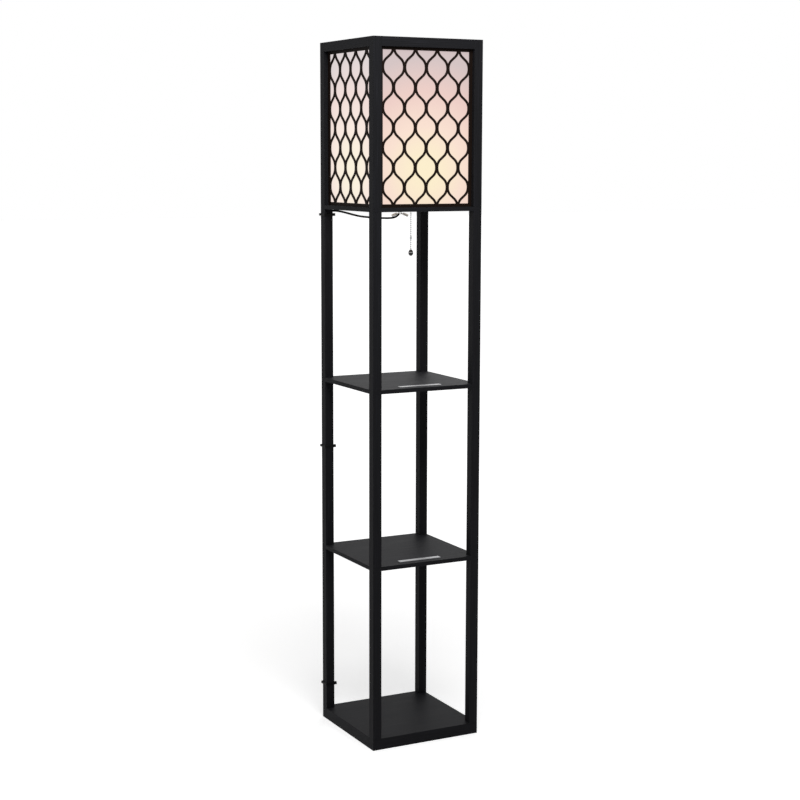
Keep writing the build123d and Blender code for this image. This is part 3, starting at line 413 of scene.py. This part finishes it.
def metal(name, code, roughness, along):
    """A bare or plated metal with the fine lines that drawing, turning or brushing leaves.

    The lines run along the named axis, or around an upright piece where it is XY.
    """
    material, tree, surface, place = start_material(
        name, {"Metallic": 1.0, "Roughness": roughness, "Base Color": rgba(code)})
    stretch = [1.0 / TOOL_LINE] * 3
    for axis in along:
        stretch["XYZ".index(axis)] /= TOOL_LINE_LONG
    lines = noise(tree, stretched(tree, place, stretch), 3.0)
    smoothest, roughest = roughness * (1 - METAL_VARIES), roughness * (1 + METAL_VARIES)
    drive(tree, surface,
          Roughness=spread(tree, lines, (smoothest, roughest)),
          Normal=emboss(tree, lines, 0.05, TOOL_LINE_DEPTH))
    return material


def moulded(name, code, roughness, gloss=0.5):
    """A moulded plastic, or dull bare wood, with the faint texture of its skin."""
    material, tree, surface, place = start_material(
        name, {"Roughness": roughness, "Base Color": rgba(code), "Specular IOR Level": gloss})
    skin = noise(tree, place, 3.0, 1.0 / MOULD_GRIT)
    drive(tree, surface,
          Roughness=spread(tree, skin, (roughness - MOULD_VARIES, roughness + MOULD_VARIES)),
          Normal=emboss(tree, skin, 0.15, SKIN_DEPTH))
    return material


def clear_nylon():
    """Milky clear nylon of a closed-end crimp cap: some of the light goes through."""
    material, tree, surface, place = start_material("clear nylon", {
        "Roughness": 0.3, "Base Color": rgba("#ececec"), "Transmission Weight": 0.25, "IOR": 1.5})
    skin = noise(tree, place, 2.0, 1.0 / NYLON_SKIN)
    drive(tree, surface, Normal=emboss(tree, skin, 0.1, SKIN_DEPTH))
    return material


def knob_enamel():
    """Dark enamelled knob with a bright nickel band between its cone and its rounded end."""
    material, tree, surface, place = start_material("enamel and nickel", {"Roughness": 0.25})
    band_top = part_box("chain_knob")[1][2] - BAND_DOWN
    axes = add_node(tree, "ShaderNodeSeparateXYZ", {0: place})
    below = combine(tree, "LESS_THAN", axes.outputs["Z"], band_top)
    above = combine(tree, "GREATER_THAN", axes.outputs["Z"], band_top - BAND_WIDTH)
    band = combine(tree, "MULTIPLY", below, above)
    drive(tree, surface, Base_Color=blend(tree, band, rgba("#14110f"), rgba("#b4b4b4")),
          Metallic=band)
    return material


def frosted_bulb():
    """Acid-frosted glass lit by the filament behind it: pale at the bulge, amber at the neck."""
    material, tree, surface, place = start_material(
        "frosted glass",
        {"Roughness": 0.4, "Base Color": rgba("#6b645a"), "Emission Strength": 0.85})
    reach = distance(tree, place, (0.0, 0.0, bulb_middle()))
    share = spread(tree, reach, span=BULB_REACH)
    frost = noise(tree, place, 2.0, 1.0 / FROST)
    drive(tree, surface, Emission_Color=blend(tree, share, rgba("#fff4dc"), rgba("#f2cf98")),
          Normal=emboss(tree, frost, 0.1, SKIN_DEPTH))
    return material


def bulb_middle():
    """Height of the middle of the bulb's glass."""
    low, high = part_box("bulb_globe")
    return high[2] - (high[0] - low[0]) / 2


# ---- lead ----
def lead_route():
    """Control points of the whole lead in metres: its listed route, the hank's loops and the tail.

    A half turn is a polygon whose sides touch the turn's circle at their middles, so its
    corners lie on a circle larger by one over the cosine of half a side's angle.
    """
    half_run = HANK_RUN / 2
    middle = LEAD_POINTS[-1][1] + HANK_OUTER
    floor_layer = LEAD_POINTS[-1][2]
    upper_layer = floor_layer + HANK_LAYER
    last = HANK_RUNS - 1
    offsets = [(1 if run % 2 else -1) * (HANK_OUTER - min(run, last - run) * HANK_STEP / 2)
               for run in range(HANK_RUNS)]
    points = list(LEAD_POINTS)
    for run, offset in enumerate(offsets):
        heading = -1 if run % 2 else 1
        side = math.copysign(1.0, offset)
        start = floor_layer if run <= last / 2 else upper_layer
        end = floor_layer if run < last / 2 else upper_layer
        straight = middle + offset
        drawn = straight - side * HANK_WAIST
        for share, y in ((-HANK_END, straight), (-HANK_TIED, drawn),
                         (HANK_TIED, drawn), (HANK_END, straight)):
            rise = start + (end - start) * (share + 1) / 2
            points.append(
                (HANK_X + heading * half_run * share, y, rise + HANK_LIFT * (1 - abs(share))))
        if run == last:
            break
        centre = middle + (offset + offsets[run + 1]) / 2
        radius = abs(offsets[run + 1] - offset) / 2
        step = math.pi / HANK_CORNERS
        outer = radius / math.cos(step / 2)
        for corner in range(HANK_CORNERS):
            turn = (corner + 0.5) * step
            x = HANK_X + heading * (half_run + outer * math.sin(turn))
            points.append((x, centre + side * outer * math.cos(turn), end))
    tail_start, tail_end = middle + offsets[-1], middle + offsets[-1] + TAIL_OUT
    plug_x = HANK_X + half_run + TAIL
    for share, y in zip((*TAIL_SHARES, 0.0), (tail_start, tail_end, tail_end)):
        points.append((plug_x - TAIL * share, y, upper_layer))
    return np.array(points) * MM


def lead_curve(points, material):
    """The lead as one NURBS line with a round bevel."""
    curve = bpy.data.curves.new("mains_lead", "CURVE")
    curve.dimensions = "3D"
    spline = curve.splines.new("NURBS")
    spline.points.add(len(points) - 1)
    spline.points.foreach_set("co", np.column_stack([points, np.ones(len(points))]).ravel())
    spline.order_u = 3
    spline.use_endpoint_u = True
    spline.resolution_u = LEAD_STEPS
    curve.bevel_depth = LEAD_DIAMETER / 2 * MM
    curve.bevel_resolution = LEAD_ROUNDING
    curve.use_fill_caps = True
    curve.materials.append(material)
    lead = bpy.data.objects.new("mains_lead", curve)
    bpy.context.collection.objects.link(lead)
    return lead


# ---- bulb ----
def threaded_cap(material):
    """The bulb's screw cap as one closed surface with a rolled right-hand thread.

    The radius is the cap's own less a wave: half the thread's depth times one minus the cosine
    of the height in pitches less the turn. The wave fades in above the foot and fades out below
    the plain skirt, and the foot rounds in along a quarter circle.
    """
    low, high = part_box("bulb_cap")
    heights = np.linspace(low[2], high[2], CAP_RINGS)
    turns = np.linspace(0.0, 2 * math.pi, CAP_SIDES, endpoint=False)
    height, turn = np.meshgrid(heights, turns, indexing="ij")
    over_foot = height - low[2]
    wave = (1 - np.cos(2 * math.pi * over_foot / THREAD_PITCH - turn)) / 2
    start = np.clip((over_foot - CAP_FOOT) / THREAD_FADE, 0.0, 1.0)
    end = np.clip((high[2] - CAP_SKIRT - height) / THREAD_FADE, 0.0, 1.0)
    below = np.clip(CAP_FOOT - over_foot, 0.0, CAP_FOOT)
    rounding = CAP_FOOT - np.sqrt(CAP_FOOT ** 2 - below ** 2)
    reach = (high[0] - low[0]) / 2 - THREAD_DEEP * wave * start * end - rounding
    side = np.stack([reach * np.cos(turn), reach * np.sin(turn), height], axis=-1).reshape(-1, 3)
    points = np.vstack([side, [[0.0, 0.0, low[2]], [0.0, 0.0, high[2]]]])
    grid = np.arange(len(side)).reshape(CAP_RINGS, CAP_SIDES)
    after = np.roll(grid, -1, axis=1)
    wall = np.stack([grid[:-1], after[:-1], after[1:], grid[1:]], axis=-1).reshape(-1, 4)
    foot = np.column_stack([np.full(CAP_SIDES, len(side)), after[0], grid[0]])
    head = np.column_stack([np.full(CAP_SIDES, len(side) + 1), grid[-1], after[-1]])
    return new_mesh("screw_cap", points, wall.tolist() + foot.tolist() + head.tolist(), material)


# ---- studio ----
def background_rays(tree):
    """1 for rays from the camera and for what metal and glass show, else 0."""
    ray = add_node(tree, "ShaderNodeLightPath")
    seen = combine(tree, "MAXIMUM", ray.outputs["Is Camera Ray"], ray.outputs["Is Glossy Ray"])
    return combine(tree, "MAXIMUM", seen, ray.outputs["Is Transmission Ray"])


def make_floor(studio):
    """A large pale floor that keeps the lamp's shadow and fades to white away from it."""
    material, tree, surface, place = start_material("pale studio floor", {
        "Roughness": 1.0, "Base Color": rgba(studio.floor), "Emission Color": WHITE})
    away = add_node(tree, "ShaderNodeVectorMath", {0: place}, operation="LENGTH")
    fade = spread(tree, away.outputs["Value"], (studio.floor_glow, 1.0), FLOOR_FADE)
    glow = combine(tree, "MULTIPLY", fade, background_rays(tree))
    drive(tree, surface, Emission_Strength=glow)
    corners = [(x * FLOOR_HALF, y * FLOOR_HALF, 0.0)
               for x, y in ((-1, -1), (1, -1), (1, 1), (-1, 1))]
    floor = new_mesh("floor", corners, [(0, 1, 2, 3)], material, smooth=False)


def make_world(studio):
    """Even room light; the camera, metal and glass see plain white."""
    world = bpy.data.worlds.new("studio")
    bpy.context.scene.world = world
    world.use_nodes = True
    tree = world.node_tree
    tree.nodes.clear()
    room = add_node(tree, "ShaderNodeBackground", {"Color": WHITE, "Strength": studio.room})
    white = add_node(tree, "ShaderNodeBackground", {"Color": WHITE, "Strength": 1.0})
    mixed = add_node(tree, "ShaderNodeMixShader", {
        0: background_rays(tree), 1: room.outputs[0], 2: white.outputs[0]})
    add_node(tree, "ShaderNodeOutputWorld", {"Surface": mixed.outputs[0]})


def make_light(name, place, aim, size, power):
    """A square area light that looks at a point."""
    light = bpy.data.lights.new(name, "AREA")
    light.energy = power
    light.size = size
    lamp = bpy.data.objects.new(name, light)
    lamp.location = place
    lamp.rotation_euler = (Vector(aim) - Vector(place)).to_track_quat("-Z", "Y").to_euler()
    bpy.context.collection.objects.link(lamp)


def make_camera(scene):
    """The camera at the photograph's viewing angle: forward from yaw and pitch, then the roll."""
    forward = Vector((
        math.sin(CAMERA_YAW) * math.cos(CAMERA_PITCH),
        math.cos(CAMERA_YAW) * math.cos(CAMERA_PITCH),
        math.sin(CAMERA_PITCH)))
    level = Vector((math.cos(CAMERA_YAW), -math.sin(CAMERA_YAW), 0.0))
    upward = level.cross(forward)
    right = level * math.cos(CAMERA_ROLL) + upward * math.sin(CAMERA_ROLL)
    up = upward * math.cos(CAMERA_ROLL) - level * math.sin(CAMERA_ROLL)
    data = bpy.data.cameras.new("camera")
    data.lens = CAMERA_LENS
    data.sensor_width = SENSOR_WIDTH
    data.sensor_fit = "HORIZONTAL"
    data.clip_end = VIEW_END
    camera = bpy.data.objects.new("camera", data)
    axes = Matrix((right, up, -forward)).transposed()
    camera.matrix_world = Matrix.Translation(CAMERA_PLACE) @ axes.to_4x4()
    bpy.context.collection.objects.link(camera)
    scene.camera = camera


# ---- operators ----
class LAMP_OT_wooden_frame(bpy.types.Operator):
    """Foil on posts, rails and boards, each with its grain along the piece"""
    bl_idname = "lamp.wooden_frame"
    bl_label = "Wooden frame"

    def execute(self, context):
        upright = foil_on_board("PVC foil, grain upright", "Z")
        sideways = foil_on_board("PVC foil, grain left to right", "X")
        backwards = foil_on_board("PVC foil, grain front to back", "Y")
        dress(POSTS, upright)
        dress(["top_rail_front", "top_rail_back", "base_rails", "shade_base_frame"], sideways)
        dress(["top_rail_left", "top_rail_right"], backwards)
        dress(["shelf_lower", "shelf_upper", "base_panel"], sideways)
        # bare beech: pale, warm and dull, seen only where a joint is open
        dress(["frame_dowels"], moulded("beech", "#b98f5e", 0.6))
        # silver hot-stamped strip: dulled grey with a soft sheen along its length
        dress(["shelf_strips"], metal("silver stamping foil", "#98989a", 0.45, "X"))
        return {"FINISHED"}


class LAMP_OT_shade(bpy.types.Operator):
    """Lattice panels and the lit diffuser behind them"""
    bl_idname = "lamp.shade"
    bl_label = "Shade"

    def execute(self, context):
        dress(LATTICES, stained_lattice())
        dress(["diffuser_panels"], lit_diffuser())
        return {"FINISHED"}


class LAMP_OT_holder(bpy.types.Operator):
    """Crossbar, studs, bolts, nipple, nuts, screws, lamp holder and its inner parts"""
    bl_idname = "lamp.holder"
    bl_label = "Lamp holder"

    def execute(self, context):
        # zinc plate: cool grey, half bright, with lines from rolling the bar
        zinc = metal("zinc-plated steel", "#b9bab8", 0.35, "Y")
        dress(["socket_crossbar", "post_studs", "base_bolts"], zinc)
        dress(["threaded_nipple", "nipple_nuts", "switch_lever"], zinc)
        # black oxide: nearly black with a dim metal sheen
        dress(["crossbar_screws"], metal("black-oxide steel", "#1a1a1b", 0.45, "Y"))
        # spun brass: yellow and bright, with fine lines around the cup
        brass = metal("spun brass", "#c9a45c", 0.3, "XY")
        dress(["socket_cap", "socket_shell", "centre_contact"], brass)
        # phenolic moulding: dark brown, slightly shiny
        dress(["socket_body", "bulb_contact"], moulded("phenolic resin", "#181513", 0.4))
        # rolled aluminium: pale and bright, with fine lines around the shell
        dress(["screw_shell"], metal("rolled aluminium", "#cfd0d0", 0.3, "XY"))
        return {"FINISHED"}


class LAMP_OT_pull(bpy.types.Operator):
    """Swinging link, ball chain, connector and knob"""
    bl_idname = "lamp.pull"
    bl_label = "Pull chain"

    def execute(self, context):
        # nickel plate: grey mirror, a little dulled by handling
        nickel = metal("nickel-plated brass", "#b4b6b8", 0.35, "Z")
        dress(["chain_eyelet", "pull_chain", "chain_connector"], nickel)
        dress(["chain_knob"], knob_enamel())
        return {"FINISHED"}


class LAMP_OT_bulb(bpy.types.Operator):
    """Glass and screw cap of the bulb"""
    bl_idname = "lamp.bulb"
    bl_label = "Bulb"

    def execute(self, context):
        dress(["bulb_globe"], frosted_bulb())
        # rolled aluminium sheet: pale and bright, the thread shows as soft bands
        cap = threaded_cap(metal("aluminium sheet", "#d4d4d2", 0.28, "XY"))
        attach(cap, "bulb_globe")
        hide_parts("bulb_cap")
        return {"FINISHED"}


class LAMP_OT_lead(bpy.types.Operator):
    """Mains lead with its put-away hank, wires, plug and ties"""
    bl_idname = "lamp.lead"
    bl_label = "Mains lead"

    def execute(self, context):
        # PVC jacket: black and nearly dull, with the faint skin of extrusion
        jacket = moulded("black PVC", "#0a0a0b", 0.5, gloss=0.08)
        dress(["plug_body"], jacket)
        dress(["crimp_caps"], clear_nylon())
        # wire insulation: white and slightly shiny
        dress(["socket_leads"], moulded("white PVC", "#e8e8e6", 0.4))
        # nylon ties: black, with a dim sheen
        dress(["cable_ties", "hank_tie"], moulded("black nylon", "#0a0a0b", 0.5, gloss=0.08))
        # nickel-plated blades: grey and bright, lines along the blade
        dress(["plug_prongs"], metal("nickel-plated steel", "#c9c6bd", 0.25, "X"))
        points = lead_route()
        lead = lead_curve(points, jacket)
        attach(lead, "root")
        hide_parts("power_cord", "cord_hank")
        return {"FINISHED"}


class LAMP_OT_studio(bpy.types.Operator):
    """Floor, soft lights, white background and the camera"""
    bl_idname = "lamp.studio"
    bl_label = "Studio"

    def execute(self, context):
        studio = context.scene.lamp_studio
        context.scene.view_settings.view_transform = "Standard"
        make_floor(studio)
        make_world(studio)
        make_light("key_light", KEY_PLACE, KEY_AIM, KEY_SIZE, studio.key)
        make_light("back_light", BACK_PLACE, BACK_AIM, BACK_SIZE, studio.back)
        make_camera(context.scene)
        return {"FINISHED"}


class LAMP_PT_panel(bpy.types.Panel):
    """Lists the lamp's operators and settings"""
    bl_idname = "LAMP_PT_panel"
    bl_label = "Shelf floor lamp"
    bl_space_type = "VIEW_3D"
    bl_region_type = "UI"
    bl_category = "Lamp"

    def draw(self, context):
        for operator in OPERATORS:
            self.layout.operator(operator.bl_idname)
        for settings in (context.scene.lamp_finish, context.scene.lamp_studio):
            for name in settings.__annotations__:
                self.layout.prop(settings, name)


OPERATORS = (
    LAMP_OT_studio, LAMP_OT_lead, LAMP_OT_wooden_frame, LAMP_OT_shade, LAMP_OT_holder,
    LAMP_OT_pull, LAMP_OT_bulb,
)
CLASSES = (LampFinish, LampStudio) + OPERATORS + (LAMP_PT_panel,)


def register():
    for item in CLASSES:
        bpy.utils.register_class(item)
    bpy.types.Scene.lamp_finish = bpy.props.PointerProperty(type=LampFinish)
    bpy.types.Scene.lamp_studio = bpy.props.PointerProperty(type=LampStudio)


def unregister():
    del bpy.types.Scene.lamp_finish
    del bpy.types.Scene.lamp_studio
    for item in reversed(CLASSES):
        bpy.utils.unregister_class(item)


def main():
    """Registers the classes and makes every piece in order."""
    register()
    for operator in OPERATORS:
        group, name = operator.bl_idname.split(".")
        getattr(getattr(bpy.ops, group), name)()


if __name__ == "__main__":
    main()
